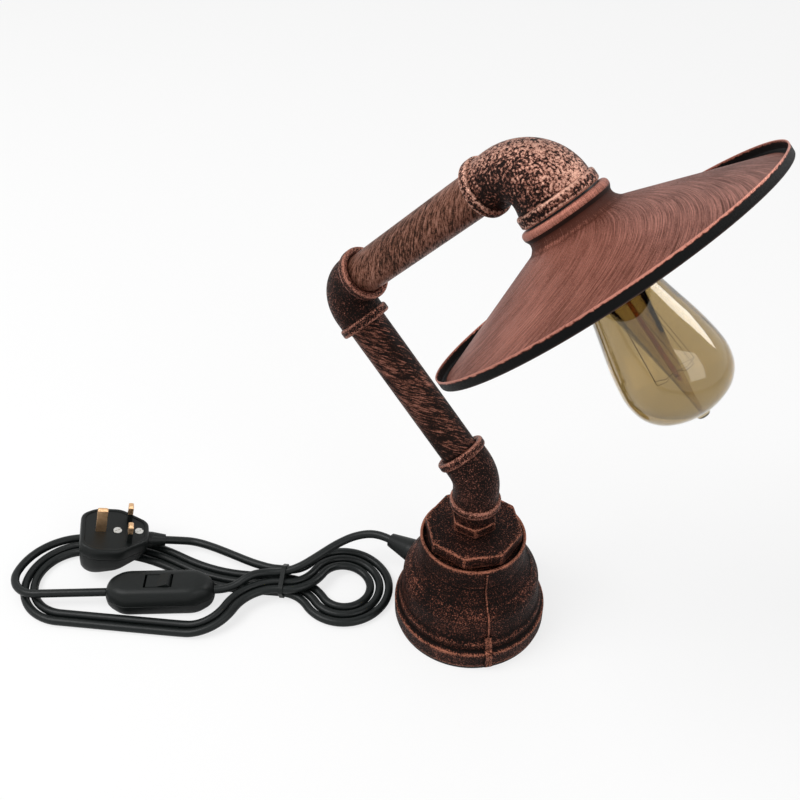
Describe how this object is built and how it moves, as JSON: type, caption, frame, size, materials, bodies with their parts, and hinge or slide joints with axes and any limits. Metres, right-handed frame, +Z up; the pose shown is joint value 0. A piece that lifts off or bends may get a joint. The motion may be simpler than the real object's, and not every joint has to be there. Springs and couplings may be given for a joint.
{
  "type": "table lamp",
  "caption": "Table lamp of threaded pipe and elbows on a bell-shaped foot, with a shallow shade, a long pear-shaped bulb, an in-line rocker switch and a mains plug.",
  "frame": {"origin": "middle of the foot, on the surface that the lamp stands on", "axes": "+Z up; the pipes lie in the XZ plane, with the lower pipe leaning to -X and the shade on the +X side"},
  "size_m": [0.4748, 0.3129, 0.4176],
  "materials": {
    "cast_copper": "black casting with brushed copper on its high places",
    "pipe_copper": "brushed antique copper over black",
    "shade_copper": "brushed antique copper over black",
    "steel": "satin",
    "brass": "satin",
    "black_plastic": "satin",
    "black_flex": "satin sheath",
    "foot_pad": "matt foam",
    "porcelain": "glazed",
    "amber_glass": "clear amber",
    "stem_glass": "clear",
    "filament_wire": "dark drawn wire",
    "cap_metal": "rolled"
  },
  "bodies": {
    "base": {"base_pad": "foot_pad", "base_bell": "cast_copper", "octagon_bush": "cast_copper", "hex_nipple": "cast_copper", "cord_grip": "black_plastic", "grip_nut": "black_plastic", "flex_base": "black_flex", "cord_lead": "black_flex", "cord_hank": "black_flex", "cord_tail": "black_flex", "cord_tie": "black_plastic", "switch_base": "black_plastic", "switch_cover": "black_plastic", "switch_screws": "steel", "switch_terminals": "brass", "plug_base": "black_plastic", "plug_cover": "black_plastic", "plug_boot": "black_plastic", "plug_screws": "steel", "plug_fuse": "porcelain", "earth_pin": "brass", "line_pin": "brass", "neutral_pin": "brass", "pin_sleeves": "black_plastic"},
    "rocker": {"rocker": "black_plastic"},
    "lower_arm": {"elbow_45": "cast_copper", "pipe_lower": "pipe_copper", "flex_lower": "black_flex"},
    "upper_arm": {"elbow_90": "cast_copper", "pipe_upper": "pipe_copper", "flex_upper": "black_flex"},
    "head": {"reducing_elbow": "cast_copper", "holder_collar": "black_plastic", "holder_shell": "black_plastic", "holder_insert": "porcelain", "screw_shell": "brass", "centre_contact": "brass", "shade_ring": "black_plastic", "shade": "shade_copper", "flex_head": "black_flex"},
    "bulb": {"bulb_glass": "amber_glass", "bulb_stem": "stem_glass", "filament_supports": "filament_wire", "filament": "filament_wire", "bulb_cap": "cap_metal", "cap_insulator": "black_plastic", "cap_contact": "brass"}
  },
  "joints": [
    {"name": "foot_swivel", "type": "hinge", "parent": "base", "child": "lower_arm", "pos_m": [0, 0, 0.1167], "axis": [0, 0, 1], "range_deg": [-60, 60]},
    {"name": "middle_swivel", "type": "hinge", "parent": "lower_arm", "child": "upper_arm", "pos_m": [-0.11314, 0, 0.25664], "axis": [-0.7071, 0, 0.7071], "range_deg": [-90, 90]},
    {"name": "head_swivel", "type": "hinge", "parent": "upper_arm", "child": "head", "pos_m": [0.01838, 0, 0.38816], "axis": [0.7071, 0, 0.7071], "range_deg": [-90, 90]},
    {"name": "bulb_turn", "type": "hinge", "parent": "head", "child": "bulb", "pos_m": [0.04066, 0, 0.36589], "axis": [0.7071, 0, -0.7071], "range_deg": [0, 360]},
    {"name": "rocker_tilt", "type": "hinge", "parent": "base", "child": "rocker", "pos_m": [-0.20433, -0.13162, 0.019], "axis": [-0.5896, 0.8077, 0], "range_deg": [0, 18]}
  ]
}
